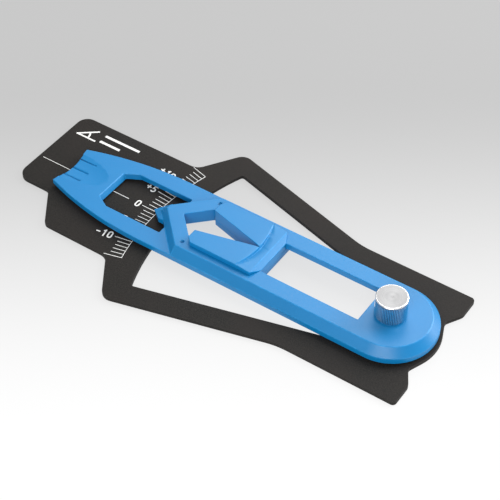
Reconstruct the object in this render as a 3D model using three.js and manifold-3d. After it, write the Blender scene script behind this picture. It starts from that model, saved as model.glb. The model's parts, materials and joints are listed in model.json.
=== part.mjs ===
// A pitch gauge for the rotor blades of model helicopters. A flat frame lies level and carries a degree
// scale. An arm swings on a stud in the frame's hub, and a thumb nut clamps it. The blade is held in the
// arm between a fixed V jaw and a sliding jaw, and the arm's pointer reads the blade's pitch.
//
// Millimetres. The origin is on the swing axis in the plane of the frame's underside, +X runs along the
// centre line towards the scale, and +Z is up. The arm points at 0 degrees. Positive pitch is towards -Y.

import * as THREE from "three";
import { ConvexGeometry } from "three/addons/geometries/ConvexGeometry.js";
import { mergeVertices } from "three/addons/utils/BufferGeometryUtils.js";
import Module from "manifold-3d";

const wasm = await Module();
wasm.setup();

// Heights above the frame's underside.
const FRAME_TOP = 1.6;
const PRINT_TOP = FRAME_TOP + 0.1;
const ARM_BOTTOM = FRAME_TOP + 0.8;
const TAIL_TOP = ARM_BOTTOM + 2.4;
const BODY_TOP = TAIL_TOP + 3.2;
const JAW_TOP = BODY_TOP + 2.1;
const WASHER_TOP = BODY_TOP + 0.4;
const NUT_TOP = 17.0;
const ABOVE_ALL = NUT_TOP + 5;
const BELOW_ALL = -5;

// Scale frame.
const FRAME_HALF_WIDTH = 28;
const EAR = { endX: -18.5, rootY: 18.9, frontRadius: 30, endRadius: 1.5, rootRadius: 3.5 };
const TAIL_END_X = 157.1;
const TAIL_STEP = { y: 13.3, x: 141.5, slantX: 131, radius: 3 };
const TAIL_CORNER_R = { wide: 4.5, narrow: 5 };
const SIDE_OUTER = { y: 20.6, slope: 0.264 };
const SIDE_INNER = { y: 11.9, slope: 0.267 };
const NECK = { angle: THREE.MathUtils.degToRad(34), distance: 100.4, outerRadius: 5, innerRadius: 4.5 };
const LOBE = { radius: 18.5, footX: -14.8, footY: 12.6, footRadius: 2.2 };
const OPENING_R = 92.2;
const OPENING_HUB_X = 10.5;
const OPENING_CORNER_R = { hub: 4, far: 1 };

// Degree scale.
const SCALE_R = 100;
const SCALE_LIMIT = 15;
const LABEL_STEP = 5;
const SHORT_TICK = 5;
const LONG_TICK = 7;
const LINE_WIDTH = 0.2;
const LABEL_R = 108.95;
const GLYPH = { width: 1.45, height: 2.9, stroke: 0.52, pitch: 2.45 };
const CENTRE_LINE = { from: 113.4, to: 155 };
const MARK = { x: 153, y: -18.2, length: 8.5, angle: THREE.MathUtils.degToRad(38), stroke: 0.7 };
const BAR = { fromX: 142, longX: 126.5, longY: -22.9, shortX: 133.5, shortY: -19.3, stroke: 1.1 };

// Arm.
const ARM_HALF_WIDTH = 17.4;
const TAIL_CURVE = { from: 97, radius: 140, to: 141.5 };
const TAIL_NOTCH = 1.4;
const BODY_TOP_HALF_WIDTH = 14.6;
const CHEVRON_BASE_X = 98.2;
const CHEVRON_TOP_X = 95.3;
const CHEVRON_BLUNT = 0.9;
const V_APEX_X = 87.4;
const SLOT = { from: 8.1, to: 79.2, halfWidth: 8.2 };
const RECESS_HALF_WIDTH = 12.2;
const RAIL_BOTTOM = BODY_TOP - 2.75;
const WINDOW = { from: 91.3, to: 120.2, halfWidth: 10.2, cutX: 5.4, cutY: 2.9 };
const WINDOW_BEVEL = 1.1;
const POINTER = { tip: 101.4, shoulder: 96, halfWidth: 4.45, tipTop: ARM_BOTTOM + 0.4 };
const DISH = { from: 123.4, radius: 32, depth: 0.9 };
const GRIP_GROOVE = { from: 132.5, radius: 0.35, pitch: 4.9 };
const DIMPLE = { x: 79.5, y: 11.8, radius: 0.85, depth: 1.7 };

// Sliding jaw and its keeper. The gaps let them slide on the rails.
const JAW_HALF_WIDTH = 12.1;
const JAW_FRONT_X = 78;
const JAW_CORNER = 2.1;
const JAW_LIP = { x: 50.15, drop: 0.65, rampX: 56 };
const WEB_REAR_X = 48.1;
const WEB_NOSE_X = 79;
const WEB_HALF_WIDTH = SLOT.halfWidth - 0.15;
const WEB_BOTTOM = RAIL_BOTTOM - 0.15;
const JAW_GAP = 0.05;
const KEEPER_BOTTOM = ARM_BOTTOM + 0.2;
const KEEPER_HALF_WIDTH = RECESS_HALF_WIDTH - 0.3;
const MOUTH = { tip: 54.1, x: 77.8, halfWidth: 6.15, slit: 0.1 };
const THUMB_SCOOP = { wallX: 54.3, wallRadius: 38, draft: 0.4, floorRadius: 48, depth: 1.4 };
const SCREW = { shank: 1, head: 1.9, headHeight: 0.9, length: 4.6, driveR: 0.75, driveDepth: 0.5 };
const SCREW_GAP = 0.05;
const SCREW_PLACES = [
  ["keeper_screw_rear", 51.2, 0],
  ["keeper_screw_left", 64, 5.7],
  ["keeper_screw_right", 64, -5.7],
];

// Pivot.
const STUD = { radius: 1.95, head: 3.5, headHeight: 1, top: 14.5, chamfer: 0.4 };
const STUD_HOLE_R = 2.05;
const SPACER_R = 6.5;
const NUT_WASHER_R = 5;
const NUT = { radius: 5.75, teeth: 60, toothDepth: 0.25, rim: 0.7, chamfer: 0.2, boreDepth: 6.5 };

// Longest distance between an arc and the chords that stand for it.
const CHORD_ERROR = 0.02;
const TURN = 2 * Math.PI;

const BLUE = { color: 0x1f86d6, roughness: 0.35, metalness: 0 };
const BLACK = { color: 0x26282a, roughness: 0.6, metalness: 0.1 };
const WHITE = { color: 0xe8e8e4, roughness: 0.7, metalness: 0 };
const STEEL = { color: 0xc9ccd0, roughness: 0.25, metalness: 1 };

// Solids and outlines.

function solid(geometry) {
  geometry.deleteAttribute("normal");
  geometry.deleteAttribute("uv");
  const merged = mergeVertices(geometry, 1e-4);
  return new wasm.Manifold(
    new wasm.Mesh({
      numProp: 3,
      vertProperties: new Float32Array(merged.attributes.position.array),
      triVerts: new Uint32Array(merged.index.array),
    }),
  );
}

function geometryOf(manifold) {
  const { vertProperties, triVerts } = manifold.getMesh();
  const geometry = new THREE.BufferGeometry();
  geometry.setAttribute("position", new THREE.BufferAttribute(vertProperties, 3));
  geometry.setIndex(new THREE.BufferAttribute(triVerts, 1));
  geometry.computeVertexNormals();
  return geometry;
}

function joined(solids) {
  return solids.reduce((all, next) => all.add(next));
}

const at = (x, y) => new THREE.Vector2(x, y);

// Points on an arc from angle a0 to a1, in radians. The ends are included.
function arc(cx, cy, radius, a0, a1) {
  const step = 2 * Math.acos(1 - CHORD_ERROR / radius);
  const count = Math.max(2, Math.ceil(Math.abs(a1 - a0) / step));
  return Array.from({ length: count + 1 }, (_, i) => {
    const a = a0 + ((a1 - a0) * i) / count;
    return at(cx + radius * Math.cos(a), cy + radius * Math.sin(a));
  });
}

// A closed outline through [x, y, radius] corners, with each corner rounded to its radius.
function rounded(corners) {
  return corners.flatMap(([x, y, radius], i) => {
    const corner = at(x, y);
    if (!radius) return [corner];
    const before = corners.at(i - 1);
    const after = corners[(i + 1) % corners.length];
    const back = at(before[0], before[1]).sub(corner).normalize();
    const ahead = at(after[0], after[1]).sub(corner).normalize();
    const half = Math.acos(back.dot(ahead)) / 2;
    const middle = back.clone().add(ahead).normalize();
    const centre = middle.multiplyScalar(radius / Math.sin(half)).add(corner);
    const start = back.multiplyScalar(radius / Math.tan(half)).add(corner).sub(centre).angle();
    const end = ahead.multiplyScalar(radius / Math.tan(half)).add(corner).sub(centre).angle();
    const turn = Math.atan2(Math.sin(end - start), Math.cos(end - start));
    return arc(centre.x, centre.y, radius, start, start + turn);
  });
}

// The same corners on the other side of the centre line, in the order that closes the outline.
function otherSide(corners) {
  return corners.map(([x, y, radius]) => [x, -y, radius]).reverse();
}

function prism(points, z0, z1) {
  const geometry = new THREE.ExtrudeGeometry(new THREE.Shape(points), {
    depth: z1 - z0,
    bevelEnabled: false,
  });
  return solid(geometry.translate(0, 0, z0));
}

function block(x0, x1, halfWidth, z0, z1) {
  return prism([at(x0, -halfWidth), at(x1, -halfWidth), at(x1, halfWidth), at(x0, halfWidth)], z0, z1);
}

function cylinder(x, y, radius, z0, z1) {
  return prism(arc(x, y, radius, 0, TURN).slice(1), z0, z1);
}

function hexagon(x, y, radius, z0, z1) {
  const corners = [0, 1, 2, 3, 4, 5].map((i) => {
    const a = (TURN * i) / 6;
    return at(x + radius * Math.cos(a), y + radius * Math.sin(a));
  });
  return prism(corners, z0, z1);
}

// A ring or disc turned about a vertical axis from a closed [radius, z] profile.
function turned(x, y, profile, segments = 64) {
  const points = [...profile, profile[0]].map(([radius, z]) => at(radius, z));
  const geometry = new THREE.LatheGeometry(points, segments);
  return solid(geometry.rotateX(Math.PI / 2).translate(x, y, 0));
}

// A solid between two outlines with the same number of points.
function loft(lower, upper, z0, z1) {
  const positions = [];
  const triangle = (...corners) => corners.forEach(([p, z]) => positions.push(p.x, p.y, z));
  lower.forEach((p, i) => {
    const j = (i + 1) % lower.length;
    triangle([p, z0], [lower[j], z0], [upper[j], z1]);
    triangle([p, z0], [upper[j], z1], [upper[i], z1]);
  });
  for (const [a, b, c] of THREE.ShapeUtils.triangulateShape(lower, [])) {
    triangle([lower[c], z0], [lower[b], z0], [lower[a], z0]);
    triangle([upper[a], z1], [upper[b], z1], [upper[c], z1]);
  }
  const geometry = new THREE.BufferGeometry();
  geometry.setAttribute("position", new THREE.Float32BufferAttribute(positions, 3));
  return solid(geometry);
}

function hull(points) {
  return solid(new ConvexGeometry(points.map(([x, y, z]) => new THREE.Vector3(x, y, z))));
}

// Scale frame.

function sideCornerX() {
  const { angle, distance } = NECK;
  const reach = distance - SIDE_OUTER.y * Math.sin(angle);
  return reach / (Math.cos(angle) + SIDE_OUTER.slope * Math.sin(angle));
}

// One side of the frame from the neck back to the lobe round the pivot.
function sideOutline() {
  const cornerX = sideCornerX();
  const neckX = (NECK.distance - FRAME_HALF_WIDTH * Math.sin(NECK.angle)) / Math.cos(NECK.angle);
  const earX = (FRAME_HALF_WIDTH - SIDE_OUTER.y) / SIDE_OUTER.slope;
  return [
    [neckX, FRAME_HALF_WIDTH, NECK.outerRadius],
    [cornerX, SIDE_OUTER.y + SIDE_OUTER.slope * cornerX, NECK.innerRadius],
    [earX, FRAME_HALF_WIDTH, EAR.frontRadius],
    [EAR.endX, FRAME_HALF_WIDTH, EAR.endRadius],
    [EAR.endX, EAR.rootY, EAR.rootRadius],
    [LOBE.footX, LOBE.footY, LOBE.footRadius],
  ];
}

// Where the tangents from the lobe's two feet would meet behind it.
function lobeApexX() {
  const { radius, footX, footY } = LOBE;
  const footAngle = Math.atan2(footY, -footX);
  const tangentAngle = footAngle - Math.acos(radius / Math.hypot(footX, footY));
  return -radius / Math.cos(tangentAngle);
}

function frameOutline() {
  const side = sideOutline();
  return rounded([
    [TAIL_END_X, -FRAME_HALF_WIDTH, TAIL_CORNER_R.wide],
    [TAIL_END_X, TAIL_STEP.y, TAIL_CORNER_R.narrow],
    [TAIL_STEP.x, TAIL_STEP.y, TAIL_STEP.radius],
    [TAIL_STEP.slantX, FRAME_HALF_WIDTH, TAIL_STEP.radius],
    ...side,
    [lobeApexX(), 0, LOBE.radius],
    ...otherSide(side),
  ]);
}

function openingOutline() {
  const { y, slope } = SIDE_INNER;
  const a = 1 + slope * slope;
  const b = slope * y;
  const farX = (-b + Math.sqrt(b * b - a * (y * y - OPENING_R * OPENING_R))) / a;
  const farAngle = Math.acos(farX / OPENING_R);
  const farArc = arc(0, 0, OPENING_R, -farAngle, farAngle).slice(1, -1);
  return rounded([
    [OPENING_HUB_X, -(y + slope * OPENING_HUB_X), OPENING_CORNER_R.hub],
    [farX, -(y + slope * farX), OPENING_CORNER_R.far],
    ...farArc.map((p) => [p.x, p.y, 0]),
    [farX, y + slope * farX, OPENING_CORNER_R.far],
    [OPENING_HUB_X, y + slope * OPENING_HUB_X, OPENING_CORNER_R.hub],
  ]);
}

function scaleFrame() {
  const studClearance = 0.05;
  return prism(frameOutline(), 0, FRAME_TOP)
    .subtract(prism(openingOutline(), BELOW_ALL, ABOVE_ALL))
    .subtract(cylinder(0, 0, STUD.radius + studClearance, BELOW_ALL, ABOVE_ALL))
    .subtract(cylinder(0, 0, STUD.head + studClearance, BELOW_ALL, STUD.headHeight));
}

// Print. A stroke is a bar between two points, or a bar along an arc.

function strokeBar(x0, y0, x1, y1, width) {
  const start = at(x0, y0);
  const end = at(x1, y1);
  const along = end.clone().sub(start).setLength(width / 2);
  const across = at(-along.y, along.x);
  const corners = [
    start.clone().sub(along).sub(across),
    end.clone().add(along).sub(across),
    end.clone().add(along).add(across),
    start.clone().sub(along).add(across),
  ];
  return prism(corners, FRAME_TOP, PRINT_TOP);
}

function strokeArc(x, y, radius, a0, a1, width) {
  const outer = arc(x, y, radius + width / 2, a0, a1);
  const inner = arc(x, y, radius - width / 2, a1, a0);
  return prism([...outer, ...inner], FRAME_TOP, PRINT_TOP);
}

function degreeScale() {
  const limit = THREE.MathUtils.degToRad(SCALE_LIMIT);
  const strokes = [strokeArc(0, 0, SCALE_R, -limit, limit, LINE_WIDTH)];
  for (let degree = -SCALE_LIMIT; degree <= SCALE_LIMIT; degree++) {
    const a = THREE.MathUtils.degToRad(degree);
    const end = SCALE_R + (degree % LABEL_STEP ? SHORT_TICK : LONG_TICK) - LINE_WIDTH / 2;
    const [c, s] = [Math.cos(a), Math.sin(a)];
    strokes.push(strokeBar(SCALE_R * c, SCALE_R * s, end * c, end * s, LINE_WIDTH));
  }
  return joined(strokes);
}

// Each glyph is centred on its own origin, with x to the right and y up.
function glyph(sign) {
  const { width, height, stroke } = GLYPH;
  const [w, h] = [width / 2, height / 2];
  const inset = stroke / 3;
  const bowl = h / 2 + stroke / 4;
  const shapes = {
    "-": () => [strokeBar(inset - w, 0, w - inset, 0, stroke)],
    "+": () => [strokeBar(-w, 0, w, 0, stroke), strokeBar(0, -w, 0, w, stroke)],
    0: () => [
      strokeBar(-w, w - h, -w, h - w, stroke),
      strokeBar(w, w - h, w, h - w, stroke),
      strokeArc(0, h - w, w, 0, Math.PI, stroke),
      strokeArc(0, w - h, w, Math.PI, TURN, stroke),
    ],
    1: () => [
      strokeBar(inset, -h, inset, h, stroke),
      strokeBar(inset, h, -w / 2, h - w / 1.5, stroke),
    ],
    5: () => [
      strokeBar(inset - w, h, w - inset, h, stroke),
      strokeBar(inset - w, h, inset - w, inset, stroke),
      strokeArc(-inset / 2, bowl - h, bowl, -0.76 * Math.PI, 0.73 * Math.PI, stroke),
    ],
  };
  return joined(shapes[sign]());
}

// Labels read towards the pivot, and the last digit of each stands at the same radius.
function labels() {
  const made = [];
  for (let degree = -2 * LABEL_STEP; degree <= 2 * LABEL_STEP; degree += LABEL_STEP) {
    const text = degree > 0 ? `+${degree}` : `${degree}`;
    const word = text.replace("+", "plus_").replace("-", "minus_");
    [...text].forEach((sign, i) => {
      const radius = LABEL_R + (text.length - 1 - i) * GLYPH.pitch;
      made.push({ name: `label_${word}_glyph_${i + 1}`, shape: glyph(sign), degree, radius });
    });
  }
  return made;
}

// A plain angle sign. Two bars stand beside it.
function angleMark() {
  const { x, y, length, angle, stroke } = MARK;
  const tipX = x - length * Math.cos(angle);
  const tipY = y - length * Math.sin(angle);
  return joined([
    strokeBar(x, y, x - length, y, stroke),
    strokeBar(x, y, tipX, tipY, stroke),
    strokeArc(x, y, 0.6 * length, Math.PI, Math.PI + angle, stroke),
  ]);
}

// Arm.

// The arm's end about the pivot, with the same number of points at every radius.
function roundEnd(radius) {
  const count = 48;
  return Array.from({ length: count + 1 }, (_, i) => {
    const a = Math.PI / 2 + (Math.PI * i) / count;
    return at(radius * Math.cos(a), radius * Math.sin(a));
  });
}

function armOutline() {
  const { from, radius, to } = TAIL_CURVE;
  const endAngle = Math.asin((to - from) / radius);
  const endY = ARM_HALF_WIDTH - radius * (1 - Math.cos(endAngle));
  const notchR = (endY * endY + TAIL_NOTCH * TAIL_NOTCH) / (2 * TAIL_NOTCH);
  const notchAngle = Math.asin(endY / notchR);
  const notchX = to - TAIL_NOTCH + notchR;
  const notch = arc(notchX, 0, notchR, Math.PI + notchAngle, Math.PI - notchAngle);
  const quarter = Math.PI / 2;
  return [
    ...roundEnd(ARM_HALF_WIDTH),
    ...arc(from, radius - ARM_HALF_WIDTH, radius, -quarter, endAngle - quarter),
    ...notch.slice(1, -1),
    ...arc(from, ARM_HALF_WIDTH - radius, radius, quarter - endAngle, quarter),
  ];
}

// The upper body's outline: round about the pivot, with a blunt 90 degree point at the V jaw.
function bodyOutline(halfWidth, apexX) {
  return [
    ...roundEnd(halfWidth),
    at(apexX - halfWidth, -halfWidth),
    at(apexX - CHEVRON_BLUNT, -CHEVRON_BLUNT),
    at(apexX - CHEVRON_BLUNT, CHEVRON_BLUNT),
    at(apexX - halfWidth, halfWidth),
  ];
}

// The slot between the rails, which ends in the V that a blade's leading edge rests in.
function slotCut() {
  const { from, to, halfWidth } = SLOT;
  const outline = [
    at(from, -halfWidth),
    at(to, -halfWidth),
    at(V_APEX_X, 0),
    at(to, halfWidth),
    at(from, halfWidth),
  ];
  return prism(outline, BELOW_ALL, ABOVE_ALL);
}

function windowOutline(farX) {
  const { from, halfWidth, cutX, cutY } = WINDOW;
  return [
    at(from, -halfWidth),
    at(farX - cutX, -halfWidth),
    at(farX, cutY - halfWidth),
    at(farX, halfWidth - cutY),
    at(farX - cutX, halfWidth),
    at(from, halfWidth),
  ];
}

// The reading window leaves the V jaw's foot whole, and its far edge slopes back towards the top.
function windowCut() {
  const footX = CHEVRON_BASE_X;
  const backX = footX - ARM_HALF_WIDTH;
  const foot = [at(backX, -ARM_HALF_WIDTH), at(footX, 0), at(backX, ARM_HALF_WIDTH)];
  const opening = loft(
    windowOutline(WINDOW.to),
    windowOutline(WINDOW.to + WINDOW_BEVEL),
    ARM_BOTTOM,
    TAIL_TOP,
  );
  const below = prism(windowOutline(WINDOW.to), BELOW_ALL, ARM_BOTTOM);
  const above = prism(windowOutline(WINDOW.to + WINDOW_BEVEL), TAIL_TOP, ABOVE_ALL);
  return joined([opening, below, above]).subtract(prism(foot, BELOW_ALL, ABOVE_ALL));
}

function pointer() {
  const { tip, shoulder, halfWidth, tipTop } = POINTER;
  const root = WINDOW.from;
  const points = [
    [tip, 0, ARM_BOTTOM],
    [tip, 0, tipTop],
  ];
  for (const y of [-halfWidth, halfWidth]) {
    for (const x of [root, shoulder]) {
      points.push([x, y, ARM_BOTTOM], [x, y, TAIL_TOP]);
    }
  }
  return hull(points);
}

// How far the floor of the thumb dish lies below the tail's top. It levels out towards the tail's end.
function dishDepth(x) {
  const left = (TAIL_CURVE.to - x) / (TAIL_CURVE.to - DISH.from);
  return DISH.depth * (1 - left * left);
}

// A scoop in the tail's top, with three grip grooves on its floor.
function thumbDish() {
  const { from, radius, depth } = DISH;
  const [rows, segments, over] = [14, 200, 1.5];
  const end = TAIL_CURVE.to + over;
  const profile = Array.from({ length: rows + 1 }, (_, i) => {
    const x = from - over + ((end - from + over) * i) / rows;
    return at(radius - depth + dishDepth(x), x);
  });
  const ends = [at(0, from - over), ...profile, at(0, end), at(0, from - over)];
  const scoop = new THREE.LatheGeometry(ends, segments).rotateZ(-Math.PI / 2);
  const axisZ = TAIL_TOP - depth + radius;
  const grooves = [-1, 0, 1].map((i) => gripGroove(i * GRIP_GROOVE.pitch));
  return joined([solid(scoop.translate(0, 0, axisZ)), ...grooves]);
}

function gripGroove(y) {
  const { from, radius } = GRIP_GROOVE;
  const length = 20;
  const fall = (dishDepth(TAIL_CURVE.to) - dishDepth(from)) / (TAIL_CURVE.to - from);
  const rod = new THREE.CylinderGeometry(radius, radius, length, 12).rotateZ(Math.PI / 2);
  rod.translate(length / 2, 0, 0).rotateY(Math.atan(fall));
  return solid(rod.translate(from, y, TAIL_TOP - dishDepth(from) + (y * y) / (2 * DISH.radius)));
}

function arm() {
  const tail = prism(armOutline(), ARM_BOTTOM, TAIL_TOP);
  const body = loft(
    bodyOutline(ARM_HALF_WIDTH, CHEVRON_BASE_X),
    bodyOutline(BODY_TOP_HALF_WIDTH, CHEVRON_TOP_X),
    TAIL_TOP,
    BODY_TOP,
  );
  const dimples = [-DIMPLE.y, DIMPLE.y].map((y) =>
    cylinder(DIMPLE.x, y, DIMPLE.radius, BODY_TOP - DIMPLE.depth, ABOVE_ALL),
  );
  return tail
    .subtract(windowCut())
    .subtract(thumbDish())
    .add(body)
    .add(pointer())
    .subtract(slotCut())
    .subtract(block(SLOT.from, SLOT.to, RECESS_HALF_WIDTH, BELOW_ALL, RAIL_BOTTOM))
    .subtract(cylinder(0, 0, STUD_HOLE_R, BELOW_ALL, ABOVE_ALL))
    .subtract(joined(dimples));
}

// Sliding jaw.

// The tapered mouth that a blade's trailing edge is pushed into.
function mouthCut() {
  const { tip, x, halfWidth, slit } = MOUTH;
  const side = [
    [V_APEX_X, halfWidth, 0],
    [x, halfWidth, 0],
    [tip, slit, 0],
  ];
  return prism(rounded([...side, ...otherSide(side)]), BELOW_ALL, ABOVE_ALL);
}

// A scoop for the thumb. Its front wall is round, and its floor rises and runs out just before the lip.
function thumbScoopCut() {
  const { wallX, wallRadius, draft, floorRadius, depth } = THUMB_SCOOP;
  const centre = wallX + wallRadius;
  const [rim, over, length] = [12, 2, 30];
  const ring = turned(centre, 0, [
    [wallRadius - draft * over, JAW_TOP + over],
    [wallRadius + draft * over, JAW_TOP - over],
    [wallRadius + rim, JAW_TOP - over],
    [wallRadius + rim, JAW_TOP + over],
  ], 200);
  const floorEnd = JAW_LIP.x + 0.6;
  const endDepth = (JAW_LIP.drop * (JAW_LIP.rampX - floorEnd)) / (JAW_LIP.rampX - JAW_LIP.x);
  const rise = (depth - endDepth) / (wallX - floorEnd);
  const floor = new THREE.CylinderGeometry(floorRadius, floorRadius, length, 240).rotateZ(Math.PI / 2);
  floor.translate(0, 0, floorRadius).rotateY(Math.atan(rise));
  return ring.intersect(solid(floor.translate(wallX, 0, JAW_TOP - depth)));
}

// The top slopes down to the rear lip, and the rear slopes down from the lip to the web, with a slanting
// facet at each corner.
function jawRear() {
  const { x: lipX, drop, rampX } = JAW_LIP;
  const foot = BODY_TOP + JAW_GAP;
  const overlap = 1;
  const points = [];
  for (const side of [-1, 1]) {
    const y = side * JAW_HALF_WIDTH;
    points.push([WEB_REAR_X, side * WEB_HALF_WIDTH, foot]);
    points.push([lipX, y, foot], [lipX, y, JAW_TOP - drop]);
    points.push([rampX, y, JAW_TOP], [rampX + overlap, y, JAW_TOP], [rampX + overlap, y, foot]);
  }
  return hull(points);
}

// The outline of the parts that pass between the rails and under them.
function noseOutline(halfWidth) {
  const slant = 0.16;
  const side = [
    [MOUTH.x, MOUTH.halfWidth, 0],
    [WEB_NOSE_X, WEB_HALF_WIDTH, 0],
    [WEB_NOSE_X - slant * (halfWidth - WEB_HALF_WIDTH), halfWidth, 0],
    [WEB_REAR_X, halfWidth, 0],
  ];
  return rounded([...side, ...otherSide(side)]);
}

function slidingJaw() {
  const foot = BODY_TOP + JAW_GAP;
  const tipGap = 0.3;
  const top = [
    [JAW_FRONT_X, JAW_HALF_WIDTH - JAW_CORNER, 0],
    [JAW_FRONT_X - JAW_CORNER, JAW_HALF_WIDTH, 0],
    [JAW_LIP.rampX, JAW_HALF_WIDTH, 0],
  ];
  const holes = SCREW_PLACES.map(([, x, y]) =>
    cylinder(x, y, SCREW.shank + SCREW_GAP, BELOW_ALL, KEEPER_BOTTOM + SCREW.length + tipGap),
  );
  return prism(rounded([...top, ...otherSide(top)]), foot, JAW_TOP)
    .add(jawRear())
    .add(prism(noseOutline(WEB_HALF_WIDTH), WEB_BOTTOM, foot))
    .subtract(mouthCut())
    .subtract(thumbScoopCut())
    .subtract(joined(holes));
}

function jawKeeper() {
  const holes = SCREW_PLACES.map(([, x, y]) =>
    turned(x, y, [
      [0, BELOW_ALL],
      [SCREW.head + SCREW_GAP, BELOW_ALL],
      [SCREW.head + SCREW_GAP, KEEPER_BOTTOM],
      [SCREW.shank + SCREW_GAP, KEEPER_BOTTOM + SCREW.headHeight],
      [SCREW.shank + SCREW_GAP, ABOVE_ALL],
      [0, ABOVE_ALL],
    ], 24),
  );
  return prism(noseOutline(KEEPER_HALF_WIDTH), KEEPER_BOTTOM, WEB_BOTTOM)
    .subtract(mouthCut())
    .subtract(joined(holes));
}

function keeperScrew(x, y) {
  const { shank, head, headHeight, length, driveR, driveDepth } = SCREW;
  const body = turned(x, y, [
    [0, KEEPER_BOTTOM],
    [head, KEEPER_BOTTOM],
    [shank, KEEPER_BOTTOM + headHeight],
    [shank, KEEPER_BOTTOM + length],
    [0, KEEPER_BOTTOM + length],
  ], 24);
  return body.subtract(hexagon(x, y, driveR, BELOW_ALL, KEEPER_BOTTOM + driveDepth));
}

// Pivot.

function pivotStud() {
  const { radius, head, headHeight, top, chamfer } = STUD;
  return turned(0, 0, [
    [0, 0],
    [head, 0],
    [head, headHeight],
    [radius, headHeight],
    [radius, top - chamfer],
    [radius - chamfer, top],
    [0, top],
  ], 32);
}

function washer(outerR, z0, z1) {
  return turned(0, 0, [
    [STUD_HOLE_R, z0],
    [outerR, z0],
    [outerR, z1],
    [STUD_HOLE_R, z1],
  ], 48);
}

// The nut's grip is straight knurled, under a smooth rim. Its bore is blind.
function thumbNut() {
  const { radius, teeth, toothDepth, rim, chamfer, boreDepth } = NUT;
  const root = radius - toothDepth;
  const rimFoot = NUT_TOP - rim;
  const body = turned(0, 0, [
    [0, WASHER_TOP],
    [root - chamfer, WASHER_TOP],
    [root, WASHER_TOP + chamfer],
    [root, rimFoot],
    [radius, rimFoot],
    [radius, NUT_TOP - chamfer],
    [radius - chamfer, NUT_TOP],
    [0, NUT_TOP],
  ], 2 * teeth);
  const valley = 0.05;
  const knurl = Array.from({ length: 2 * teeth }, (_, i) => {
    const a = (TURN * i) / (2 * teeth);
    const r = i % 2 ? radius : root - valley;
    return at(r * Math.cos(a), r * Math.sin(a));
  });
  return body
    .add(prism(knurl, WASHER_TOP + chamfer, rimFoot))
    .subtract(cylinder(0, 0, STUD_HOLE_R, BELOW_ALL, WASHER_TOP + boreDepth));
}

// Assembly.

const gauge = new THREE.Group();

function place(name, shape, look, parent = gauge) {
  const mesh = new THREE.Mesh(geometryOf(shape), new THREE.MeshStandardMaterial(look));
  mesh.name = name;
  parent.add(mesh);
  return mesh;
}

place("scale_frame", scaleFrame(), BLACK);
place("degree_scale", degreeScale(), WHITE);
place("centre_line", strokeBar(CENTRE_LINE.from, 0, CENTRE_LINE.to, 0, LINE_WIDTH), WHITE);
for (const { name, shape, degree, radius } of labels()) {
  const turn = THREE.MathUtils.degToRad(-degree);
  const label = place(name, shape, WHITE);
  label.position.set(radius * Math.cos(turn), radius * Math.sin(turn), 0);
  label.rotation.z = Math.PI + turn;
}
place("angle_mark", angleMark(), WHITE);
place("mark_bar_long", strokeBar(BAR.fromX, BAR.longY, BAR.longX, BAR.longY, BAR.stroke), WHITE);
place("mark_bar_short", strokeBar(BAR.fromX, BAR.shortY, BAR.shortX, BAR.shortY, BAR.stroke), WHITE);

const swing = new THREE.Group();
gauge.add(swing);
place("swing_arm", arm(), BLUE, swing);
place("sliding_jaw", slidingJaw(), BLUE, swing);
place("jaw_keeper", jawKeeper(), BLUE, swing);
for (const [name, x, y] of SCREW_PLACES) {
  place(name, keeperScrew(x, y), STEEL, swing);
}

place("pivot_stud", pivotStud(), STEEL);
place("spacer_washer", washer(SPACER_R, FRAME_TOP, ARM_BOTTOM), STEEL);
place("nut_washer", washer(NUT_WASHER_R, BODY_TOP, WASHER_TOP), STEEL);
place("thumb_nut", thumbNut(), STEEL);

export default gauge;
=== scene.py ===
"""Looks of a pitch gauge for the rotor blades of model helicopters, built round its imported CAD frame.

Metres, in the frame of the CAD: the origin is on the swing axis in the plane of the frame's underside,
+X runs along the centre line towards the scale, and +Z is up.
"""

import json
import math

import bmesh
import bpy
from mathutils import Matrix, Vector


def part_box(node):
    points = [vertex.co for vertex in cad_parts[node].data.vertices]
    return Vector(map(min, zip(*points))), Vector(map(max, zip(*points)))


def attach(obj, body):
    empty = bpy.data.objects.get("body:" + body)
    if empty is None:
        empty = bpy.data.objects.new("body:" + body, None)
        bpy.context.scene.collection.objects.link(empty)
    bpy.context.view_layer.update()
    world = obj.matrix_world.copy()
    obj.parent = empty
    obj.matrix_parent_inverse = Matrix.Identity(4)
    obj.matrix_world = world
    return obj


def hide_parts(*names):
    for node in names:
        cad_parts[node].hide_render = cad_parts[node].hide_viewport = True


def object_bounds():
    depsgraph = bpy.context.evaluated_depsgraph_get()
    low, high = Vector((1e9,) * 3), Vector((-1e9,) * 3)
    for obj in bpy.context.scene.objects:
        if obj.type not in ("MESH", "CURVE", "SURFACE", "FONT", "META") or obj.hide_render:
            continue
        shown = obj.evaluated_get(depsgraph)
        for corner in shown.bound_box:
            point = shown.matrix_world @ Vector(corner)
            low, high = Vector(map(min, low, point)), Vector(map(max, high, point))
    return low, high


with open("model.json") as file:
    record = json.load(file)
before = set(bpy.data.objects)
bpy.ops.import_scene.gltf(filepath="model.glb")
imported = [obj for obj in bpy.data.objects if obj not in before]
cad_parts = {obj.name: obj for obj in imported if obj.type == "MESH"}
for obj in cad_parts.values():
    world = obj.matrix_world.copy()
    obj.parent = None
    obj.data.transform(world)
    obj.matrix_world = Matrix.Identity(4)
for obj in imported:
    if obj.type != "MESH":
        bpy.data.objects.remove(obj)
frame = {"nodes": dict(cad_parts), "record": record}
cad_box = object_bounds()
NODES = frame["nodes"]

MM = 0.001

# Camera: where it stands, and how it is turned.
CAMERA_PLACE = Vector((-147.67, 296.34, 376.0)) * MM
CAMERA_AZIMUTH = math.radians(-145.217)
CAMERA_ELEVATION = math.radians(45.732)
CAMERA_ROLL = math.radians(-0.415)
CAMERA_LENS = 103.96
CAMERA_SENSOR = 36.0

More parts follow.
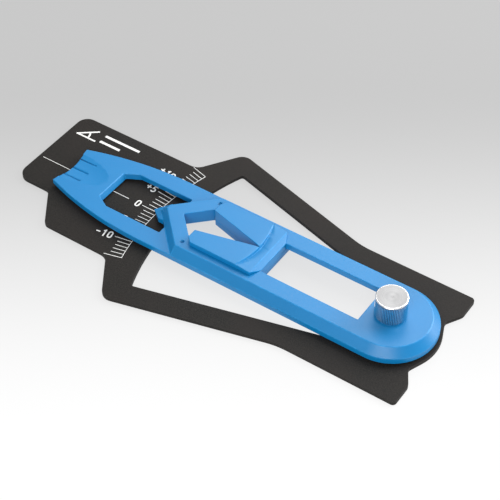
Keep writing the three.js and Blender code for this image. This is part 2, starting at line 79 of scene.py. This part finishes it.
# Widths of the soft edges, as the moulding and the sheet's cutting leave them.
ARM_EDGE = 0.28 * MM
JAW_EDGE = 0.22 * MM
FRAME_EDGE = 0.12 * MM
WASHER_EDGE = 0.08 * MM

# Angles between faces, in degrees: faces under the first are one flat face, edges over the second are
# rounded, and edges over the others stay sharp in a softened and in a turned surface.
FLAT_ANGLE = 0.4
CREASE_ANGLE = 24.0
SHARP_ANGLE = 35
TURNED_SHARP_ANGLE = 28

# Points closer than this are one point.
SAME_PLACE = 1e-7

# Edges shorter than these stay as they are: on the arm, and on the jaw and its keeper.
ARM_FINE = 0.6 * MM
JAW_FINE = 0.45 * MM

# The grip grooves on the arm's tail: how far from its end they reach, how far apart they are, and how
# far to each side of their middle the edges stay as they are.
GRIP_LENGTH = 10 * MM
GROOVE_PITCH = 4.9 * MM
GROOVE_SIDE = 0.6 * MM

# Where the arm's dimples and the jaw's side screws stand along the arm.
DIMPLE_X = 79.5 * MM
SCREW_X = 64.0 * MM

# The thumb nut: its knurl, its blind bore, its plain rim, and the ring round its satin face, which
# keeps the full metal colour while the face inside it is painted darker as shade.
KNURL_DEPTH = 0.22 * MM
KNURL_TEETH = 60
STEPS_PER_TOOTH = 4
BORE_RADIUS = 2.05 * MM
BORE_DEPTH = 6.5 * MM
RIM_HEIGHT = 0.75 * MM
RING_WIDTH = 0.42 * MM

# Floor: where its painted glow goes from white to grey, measured away from the camera, how bright that
# glow is at either end, what part of that colour it reflects, how far it reaches, and how far below the
# frame it lies.
FLOOR_NEAR = -90 * MM
FLOOR_FAR = 95 * MM
FLOOR_WHITE = 0.86
FLOOR_GREY = 0.50
FLOOR_ALBEDO = 0.12
FLOOR_REACH = 3.0
FLOOR_GAP = 0.02 * MM

# Studio light: an even white surround, and panels given by name, azimuth from +X and elevation in
# degrees, distance and size in metres, and power in watts.
SURROUND = 0.45
PANELS = (
    ("panel_far", -84.0, 50.0, 0.8, 0.7, 5.2),
    ("panel_near", 112.0, 30.0, 0.8, 0.5, 4.2),
    ("panel_right", -128.0, 20.0, 0.7, 0.42, 4.4),
)


# Materials.


class Look:
    """A material whose Principled shader is fed by procedural nodes in the piece's own coordinates.

    Most methods add what they name to the material and return the socket that holds the result.
    """

    def __init__(self, name, **sockets):
        self.material = bpy.data.materials.new(name)
        self.material.use_nodes = True
        self.tree = self.material.node_tree
        self.shader = self.tree.nodes["Principled BSDF"]
        self.place = self.tree.nodes.new("ShaderNodeTexCoord").outputs["Object"]
        for socket, value in sockets.items():
            self.shader.inputs[socket.replace("_", " ")].default_value = value

    def node(self, kind, inputs=(), **settings):
        made = self.tree.nodes.new("ShaderNode" + kind)
        for key, value in settings.items():
            setattr(made, key, value)
        for key, value in dict(inputs).items():
            if isinstance(value, bpy.types.NodeSocket):
                self.tree.links.new(value, made.inputs[key])
            else:
                made.inputs[key].default_value = value
        return made

    def math(self, operation, a, b=0.0):
        return self.node("Math", {0: a, 1: b}, operation=operation).outputs[0]

    def stretched(self, scale):
        return self.node("Mapping", {"Vector": self.place, "Scale": scale}).outputs[0]

    def noise(self, per_metre, detail=3.0, roughness=0.5, place=None, distortion=0.0):
        values = {
            "Vector": place or self.place,
            "Scale": per_metre,
            "Detail": detail,
            "Roughness": roughness,
            "Distortion": distortion,
        }
        return self.node("TexNoise", values).outputs[0]

    def between(self, factor, low, high, from_low=0.0, from_high=1.0):
        values = {0: factor, 1: from_low, 2: from_high, 3: low, 4: high}
        return self.node("MapRange", values).outputs[0]

    def blend(self, factor, a, b, how="MIX"):
        made = self.node("Mix", data_type="RGBA", blend_type=how)
        for index, value in ((0, factor), (6, a), (7, b)):
            if isinstance(value, bpy.types.NodeSocket):
                self.tree.links.new(value, made.inputs[index])
            else:
                made.inputs[index].default_value = value
        return made.outputs[2]

    def edge(self):
        """1 on the soft edges that softened() makes, and 0 elsewhere."""
        return self.node("Attribute", attribute_name="edge").outputs["Fac"]

    def bump(self, height, strength, depth, under=None):
        values = {"Height": height, "Strength": strength, "Distance": depth}
        if under is not None:
            values["Normal"] = under
        return self.node("Bump", values).outputs[0]

    def feed(self, socket, value):
        self.tree.links.new(value, self.shader.inputs[socket])


def rgb(r, g, b):
    return (r, g, b, 1.0)


def arm_blue():
    """Satin moulded plastic: slightly uneven colour, a painted highlight on the rounded edges, a fine
    grain, and handling marks.
    """
    look = Look("arm_blue", IOR=1.5, Specular_IOR_Level=0.5)
    cloud = look.noise(45.0, detail=4.0)
    colour = look.blend(cloud, rgb(0.0, 0.17, 0.43), rgb(0.0, 0.205, 0.495))
    # Painted highlight: the rounded edges turn a lighter blue in noisy patches.
    highlight_patches = look.noise(260.0, detail=5.0, roughness=0.65)
    edge_highlight = look.math("MULTIPLY", look.edge(), look.between(highlight_patches, 0.0, 0.45, 0.35, 0.7))
    look.feed("Base Color", look.blend(edge_highlight, colour, rgb(0.03, 0.34, 0.74)))
    marks = look.noise(1400.0, detail=3.0, roughness=0.6, distortion=0.4)
    satin = look.between(marks, 0.36, 0.46, 0.3, 0.7)
    look.feed("Roughness", look.math("ADD", satin, look.between(cloud, -0.02, 0.02)))
    grain = look.noise(5200.0, detail=2.0)
    waves = look.noise(140.0, detail=1.0)
    smooth = look.bump(waves, 0.2, 0.04 * MM)
    look.feed("Normal", look.bump(grain, 0.2, 0.01 * MM, under=smooth))
    return look.material


def frame_black():
    """Black sheet with a fine speckled grain and paler cut edges."""
    look = Look("frame_black", IOR=1.46, Specular_IOR_Level=0.12)
    speck = look.noise(2600.0, detail=4.0, roughness=0.7)
    cloud = look.noise(28.0, detail=3.0)
    specks = look.between(speck, 0.0, 1.0, 0.3, 0.7)
    colour = look.blend(specks, rgb(0.0015, 0.0025, 0.0025), rgb(0.036, 0.033, 0.030))
    colour = look.blend(look.between(cloud, 0.0, 0.6, 0.4, 0.7), colour, rgb(0.026, 0.021, 0.019))
    edge = look.math("MULTIPLY", look.edge(), 0.4)
    look.feed("Base Color", look.blend(edge, colour, rgb(0.05, 0.047, 0.045)))
    look.feed("Roughness", look.between(speck, 0.42, 0.62, 0.3, 0.7))
    fine = look.bump(speck, 0.45, 0.03 * MM)
    dents = look.noise(700.0, detail=3.0)
    look.feed("Normal", look.bump(dents, 0.2, 0.03 * MM, under=fine))
    return look.material


def print_white():
    """Screen print: nearly even white that thins to grey in specks."""
    look = Look("print_white", IOR=1.45, Specular_IOR_Level=0.3)
    thin = look.noise(2200.0, detail=3.0, roughness=0.6)
    thinned = look.between(thin, 0.0, 0.8, 0.56, 0.78)
    look.feed("Base Color", look.blend(thinned, rgb(0.80, 0.80, 0.78), rgb(0.42, 0.42, 0.42)))
    look.feed("Roughness", look.between(thin, 0.5, 0.7))
    look.feed("Normal", look.bump(thin, 0.2, 0.01 * MM))
    return look.material


def nut_aluminium():
    """Bright turned aluminium: fine rings, a satin face painted darker as shade, and painted shade in
    the knurl valleys and the groove under the rim.
    """
    look = Look("nut_aluminium", Metallic=1.0, Anisotropic=0.7)
    foot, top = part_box("thumb_nut")
    split = look.node("SeparateXYZ", {0: look.place})
    x, y, z = split.outputs[0], split.outputs[1], split.outputs[2]
    squares = look.math("ADD", look.math("MULTIPLY", x, x), look.math("MULTIPLY", y, y))
    radius = look.math("SQRT", squares)
    across = look.node("CombineXYZ", {0: radius, 2: z}).outputs[0]
    ring = look.noise(9000.0, detail=3.0, roughness=0.7, place=across)
    tarnish = look.noise(400.0, detail=4.0)

    # Painted shade: the knurl valleys and the groove under the rim darken towards a dark blue-grey,
    # most where they lie deepest.
    above_foot = look.math("GREATER_THAN", z, foot.z + 0.32 * MM)
    below_rim = look.math("LESS_THAN", z, top.z - 0.5 * MM)
    root = top.x - KNURL_DEPTH
    depth = look.between(radius, 0.95, 0.0, root, root + 0.75 * KNURL_DEPTH)
    valley_shade = look.math("MULTIPLY", look.math("MULTIPLY", above_foot, below_rim), depth)
    # Painted shade: inside the ring, the top face takes a far darker metal colour than the sides.
    inside_rim = look.math("LESS_THAN", radius, top.x - RING_WIDTH)
    face = look.math("MULTIPLY", inside_rim, look.math("GREATER_THAN", z, top.z - 0.2 * MM))

    tarnished = look.between(tarnish, 0.0, 0.5, 0.45, 0.8)
    metal = look.blend(tarnished, rgb(0.92, 0.92, 0.93), rgb(0.78, 0.78, 0.79))
    rings = look.between(ring, 0.0, 1.0, 0.35, 0.65)
    # The top face's colour of painted shade, with fine rings in it.
    satin = look.blend(rings, rgb(0.17, 0.17, 0.172), rgb(0.3, 0.3, 0.302))
    colour = look.blend(face, metal, satin)
    # Painted shade in the knurl valleys and the groove under the rim.
    look.feed("Base Color", look.blend(valley_shade, colour, rgb(0.06, 0.11, 0.18)))
    uneven = look.math("ADD", ring, look.math("MULTIPLY", tarnish, 0.4))
    rough = look.between(uneven, 0.16, 0.30, 0.4, 1.0)
    look.feed("Roughness", look.math("ADD", rough, look.math("MULTIPLY", face, 0.12)))
    look.feed("Normal", look.bump(ring, 0.3, 0.006 * MM))
    look.feed("Tangent", look.node("Tangent", direction_type="RADIAL", axis="Z").outputs[0])
    return look.material


def screw_steel():
    """Plain bright steel with fine scratches each way."""
    look = Look("screw_steel", Metallic=1.0)
    scratch_x = look.noise(3000.0, detail=2.0, place=look.stretched((0.06, 1.0, 1.0)))
    scratch_y = look.noise(3000.0, detail=2.0, place=look.stretched((1.0, 0.06, 1.0)))
    both = look.math("ADD", scratch_x, scratch_y)
    stain = look.noise(300.0, detail=4.0)
    look.feed("Base Color", look.blend(stain, rgb(0.50, 0.51, 0.53), rgb(0.68, 0.69, 0.70)))
    look.feed("Roughness", look.between(both, 0.22, 0.42, 0.7, 1.3))
    look.feed("Normal", look.bump(both, 0.25, 0.01 * MM))
    return look.material


def washer_black():
    """Matt black washer with a faint grain."""
    look = Look("washer_black", Specular_IOR_Level=0.3)
    grain = look.noise(2400.0, detail=4.0)
    look.feed("Base Color", look.blend(grain, rgb(0.012, 0.012, 0.013), rgb(0.03, 0.03, 0.03)))
    look.feed("Roughness", look.between(grain, 0.55, 0.8))
    look.feed("Normal", look.bump(grain, 0.3, 0.02 * MM))
    return look.material


def floor_white():
    """A pale table that glows with painted light, white near the camera and grey far from it, and
    reflects little light.
    """
    look = Look("floor_white", Specular_IOR_Level=0.0, Emission_Strength=1.0)
    along = look.node("SeparateXYZ", {0: look.place}).outputs[0]
    # Painted light: the floor glows with its own light, white near the camera and fading to grey far
    # from it.
    tone = look.node("ValToRGB", {0: look.between(along, 0.0, 1.0, FLOOR_NEAR, FLOOR_FAR)})
    tone.color_ramp.interpolation = "EASE"
    for stop, grey in zip(tone.color_ramp.elements, (FLOOR_WHITE, FLOOR_GREY)):
        stop.color = rgb(grey, grey, grey)
    mottle = look.between(look.noise(9.0, detail=2.0), 0.997, 1.003)
    grey = look.node("CombineColor", {0: mottle, 1: mottle, 2: mottle}).outputs[0]
    lit = look.blend(1.0, tone.outputs[0], grey, "MULTIPLY")
    # The painted glow of the floor.
    look.feed("Emission Color", lit)
    albedo = rgb(FLOOR_ALBEDO, FLOOR_ALBEDO, FLOOR_ALBEDO)
    look.feed("Base Color", look.blend(1.0, lit, albedo, "MULTIPLY"))
    look.feed("Roughness", look.between(mottle, 0.9, 1.0, 0.997, 1.003))
    return look.material


# Shapes.


def piece(name, mesh, material, body, slot, *replaced):
    """Puts a finished mesh on a CAD body, in place of the CAD nodes it stands for."""
    made = bpy.data.objects.new(name, mesh)
    bpy.context.scene.collection.objects.link(made)
    made.data.materials.append(material)
    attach(made, body)
    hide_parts(*replaced)
    return made


def flatten(shape, cuts):
    """Makes flat faces whole. The cuts, each an axis and a place on it, split faces that have holes."""
    bmesh.ops.remove_doubles(shape, verts=shape.verts, dist=SAME_PLACE)
    for axis, value in cuts:
        place, normal = Vector((0, 0, 0)), Vector((0, 0, 0))
        place[axis], normal[axis] = value, 1
        everything = shape.verts[:] + shape.edges[:] + shape.faces[:]
        bmesh.ops.bisect_plane(
            shape, geom=everything, dist=SAME_PLACE, plane_co=place, plane_no=normal
        )

    def on_a_cut(e):
        return any(
            all(abs(v.co[axis] - value) < 2 * SAME_PLACE for v in e.verts) for axis, value in cuts
        )

    free = [e for e in shape.edges if not on_a_cut(e)]
    limit = math.radians(FLAT_ANGLE)
    bmesh.ops.dissolve_limit(shape, angle_limit=limit, verts=shape.verts, edges=free)


def softened(node, width, cuts=(), skip=lambda middle, length: False, segments=3):
    """A copy of a CAD node's surface with its flat faces whole and its sharp edges rounded.

    skip() is given the middle and the length of an edge, and says whether the edge stays sharp.
    """
    shape = bmesh.new()
    shape.from_mesh(NODES[node].data)
    edge = shape.faces.layers.float.new("edge")
    flatten(shape, cuts)
    sharp = [
        e
        for e in shape.edges
        if len(e.link_faces) == 2
        and e.calc_face_angle() > math.radians(CREASE_ANGLE)
        and not skip((e.verts[0].co + e.verts[1].co) / 2, e.calc_length())
    ]
    rounded = bmesh.ops.bevel(
        shape,
        geom=sharp,
        offset=width,
        offset_type="OFFSET",
        segments=segments,
        profile=0.5,
        affect="EDGES",
        clamp_overlap=False,
        miter_outer="ARC",
    )
    for face in rounded["faces"]:
        face[edge] = 1.0
    for face in shape.faces:
        face.smooth = True
    mesh = bpy.data.meshes.new(node + "_soft")
    shape.to_mesh(mesh)
    shape.free()
    mesh.set_sharp_from_angle(angle=math.radians(SHARP_ANGLE))
    return mesh


def weighted(made):
    """Keeps broad faces flat where rounded edges meet them."""
    normals = made.modifiers.new("flat_faces", "WEIGHTED_NORMAL")
    normals.keep_sharp = True
    return made


def lathe(name, rows):
    """A closed surface turned about the swing axis.

    Each row is its height, its radius, and how deep the knurl cuts it. A radius of 0 is a point.
    """
    shape = bmesh.new()
    segments = KNURL_TEETH * STEPS_PER_TOOTH
    half_tooth = STEPS_PER_TOOTH / 2
    rings = []
    for z, radius, cut in rows:
        if radius == 0:
            rings.append([shape.verts.new((0, 0, z))])
            continue
        ring = []
        for i in range(segments):
            angle = 2 * math.pi * i / segments
            tooth = abs(i % STEPS_PER_TOOTH - half_tooth) / half_tooth
            r = radius - cut * tooth
            ring.append(shape.verts.new((r * math.cos(angle), r * math.sin(angle), z)))
        rings.append(ring)
    for low, high in zip(rings, rings[1:]):
        for i in range(segments):
            j = (i + 1) % segments
            if len(low) == 1:
                shape.faces.new((low[0], high[j], high[i]))
            elif len(high) == 1:
                shape.faces.new((low[i], low[j], high[0]))
            else:
                shape.faces.new((low[i], low[j], high[j], high[i]))
    bmesh.ops.recalc_face_normals(shape, faces=shape.faces)
    for face in shape.faces:
        face.smooth = True
    mesh = bpy.data.meshes.new(name)
    shape.to_mesh(mesh)
    shape.free()
    mesh.set_sharp_from_angle(angle=math.radians(TURNED_SHARP_ANGLE))
    return mesh


def nut_mesh():
    """The clamp nut: blind bore, knurled grip, plain rim, and a face turned very slightly hollow."""
    low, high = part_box("thumb_nut")
    foot, top = low.z, high.z
    r = high.x
    root = r - KNURL_DEPTH
    blind = foot + BORE_DEPTH
    rim_foot = top - RIM_HEIGHT
    rows = [
        (blind, 0, 0),
        (blind, BORE_RADIUS, 0),
        (foot, BORE_RADIUS, 0),
        (foot, root - 0.3 * MM, 0),
        (foot + 0.1 * MM, root - 0.1 * MM, 0),
        (foot + 0.3 * MM, root, 0),
        (foot + 0.35 * MM, r - 0.02 * MM, 0.2 * MM),
        (foot + 0.6 * MM, r, KNURL_DEPTH),
        (rim_foot - 0.25 * MM, r, KNURL_DEPTH),
        (rim_foot, r - 0.04 * MM, 0.18 * MM),
        (rim_foot + 0.02 * MM, root, 0),
        (rim_foot + 0.17 * MM, root, 0),
        (rim_foot + 0.25 * MM, r - 0.04 * MM, 0),
        (top - 0.26 * MM, r - 0.03 * MM, 0),
        (top - 0.18 * MM, r - 0.06 * MM, 0),
        (top - 0.04 * MM, r - 0.2 * MM, 0),
        (top, r - 0.28 * MM, 0),
        (top, r - 0.6 * MM, 0),
        (top - 0.05 * MM, 0.5 * r, 0),
        (top - 0.07 * MM, 0.3 * MM, 0),
        (top - 0.10 * MM, 0, 0),
    ]
    return lathe("thumb_nut_turned", rows)


def dress():
    """Each CAD node gets a detailed piece in its place, or keeps its shape with a finer material."""
    blue, black, white = arm_blue(), frame_black(), print_white()
    steel, matt = screw_steel(), washer_black()
    polished = nut_aluminium()
    looks = {
        "frame_black": black,
        "print_white": white,
        "arm_blue": blue,
        "screw_steel": steel,
        "washer_black": matt,
        "nut_aluminium": polished,
    }
    for part in frame["record"]["subparts"]:
        data = NODES[part["node"]].data
        data.materials.clear()
        data.materials.append(looks[part["material_slot"]])

    frame_mesh = softened("scale_frame", FRAME_EDGE, cuts=((1, 0.0),))
    weighted(piece("frame_sheet", frame_mesh, black, "frame", "frame_black", "scale_frame"))

    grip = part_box("swing_arm")[1].x - GRIP_LENGTH

    def fine(middle, length):
        off_groove = abs(middle.y - GROOVE_PITCH * round(middle.y / GROOVE_PITCH))
        return length < ARM_FINE or (middle.x > grip and off_groove < GROOVE_SIDE)

    def short(middle, length):
        return length < JAW_FINE

    arm_mesh = softened("swing_arm", ARM_EDGE, cuts=((1, 0.0), (0, DIMPLE_X)), skip=fine)
    weighted(piece("arm_moulding", arm_mesh, blue, "arm", "arm_blue", "swing_arm"))
    jaw_cuts = ((1, 0.0), (0, SCREW_X))
    jaw_mesh = softened("sliding_jaw", JAW_EDGE, cuts=jaw_cuts, skip=short)
    weighted(piece("jaw_moulding", jaw_mesh, blue, "jaw", "arm_blue", "sliding_jaw"))
    keeper_mesh = softened("jaw_keeper", JAW_EDGE, cuts=jaw_cuts, skip=short)
    weighted(piece("keeper_moulding", keeper_mesh, blue, "jaw", "arm_blue", "jaw_keeper"))
    spacer_mesh = softened("spacer_washer", WASHER_EDGE, cuts=((1, 0.0),), segments=2)
    weighted(piece("spacer", spacer_mesh, matt, "frame", "washer_black", "spacer_washer"))
    washer_mesh = softened("nut_washer", WASHER_EDGE, cuts=((1, 0.0),), segments=2)
    weighted(piece("washer", washer_mesh, steel, "clamp_washer", "screw_steel", "nut_washer"))
    piece("nut", nut_mesh(), polished, "clamp_nut", "nut_aluminium", "thumb_nut")


# Stage.


def view_axes():
    """The camera's right, up and back directions."""
    level = math.cos(CAMERA_ELEVATION)
    back = Vector(
        (
            math.sin(CAMERA_AZIMUTH) * level,
            -math.cos(CAMERA_AZIMUTH) * level,
            math.sin(CAMERA_ELEVATION),
        )
    )
    right = Vector((0, 0, 1)).cross(back).normalized()
    up = back.cross(right)
    turn = Matrix.Rotation(CAMERA_ROLL, 3, back)
    return turn @ right, turn @ up, back


def add_camera():
    right, up, back = view_axes()
    data = bpy.data.cameras.new("camera")
    data.lens = CAMERA_LENS
    data.sensor_width = CAMERA_SENSOR
    data.clip_start = 0.01
    data.clip_end = 20
    camera = bpy.data.objects.new("camera", data)
    turn = Matrix((right, up, back)).transposed().to_4x4()
    camera.matrix_world = Matrix.Translation(CAMERA_PLACE) @ turn
    bpy.context.scene.collection.objects.link(camera)
    bpy.context.scene.camera = camera


def add_panel(name, place, aim, size, power):
    """A large soft square light."""
    data = bpy.data.lights.new(name, "AREA")
    data.shape = "SQUARE"
    data.size = size
    data.energy = power
    light = bpy.data.objects.new(name, data)
    light.location = place
    light.rotation_euler = (Vector(place) - Vector(aim)).to_track_quat("Z", "Y").to_euler()
    bpy.context.scene.collection.objects.link(light)


def add_stage():
    low, high = (Vector(corner) for corner in cad_box)
    middle = (low + high) / 2
    away = -view_axes()[2]
    away.z = 0
    away.normalize()

    world = bpy.data.worlds.new("studio")
    world.use_nodes = True
    background = world.node_tree.nodes["Background"]
    background.inputs["Color"].default_value = rgb(1.0, 1.0, 1.0)
    background.inputs["Strength"].default_value = SURROUND
    bpy.context.scene.world = world

    floor_mesh = bpy.data.meshes.new("floor")
    shape = bmesh.new()
    r = FLOOR_REACH
    corners = [(-r, -r, 0), (r, -r, 0), (r, r, 0), (-r, r, 0)]
    shape.faces.new([shape.verts.new(corner) for corner in corners])
    shape.to_mesh(floor_mesh)
    shape.free()
    floor_mesh.materials.append(floor_white())
    floor = bpy.data.objects.new("floor", floor_mesh)
    floor.location = (middle.x, middle.y, low.z - FLOOR_GAP)
    floor.rotation_euler = (0, 0, math.atan2(away.y, away.x))
    bpy.context.scene.collection.objects.link(floor)

    for name, azimuth, elevation, distance, size, power in PANELS:
        azimuth, elevation = math.radians(azimuth), math.radians(elevation)
        level = math.cos(elevation)
        towards = Vector((math.cos(azimuth) * level, math.sin(azimuth) * level, math.sin(elevation)))
        add_panel(name, middle + distance * towards, middle, size, power)
    bpy.context.scene.view_settings.view_transform = "Standard"


dress()
add_stage()
add_camera()
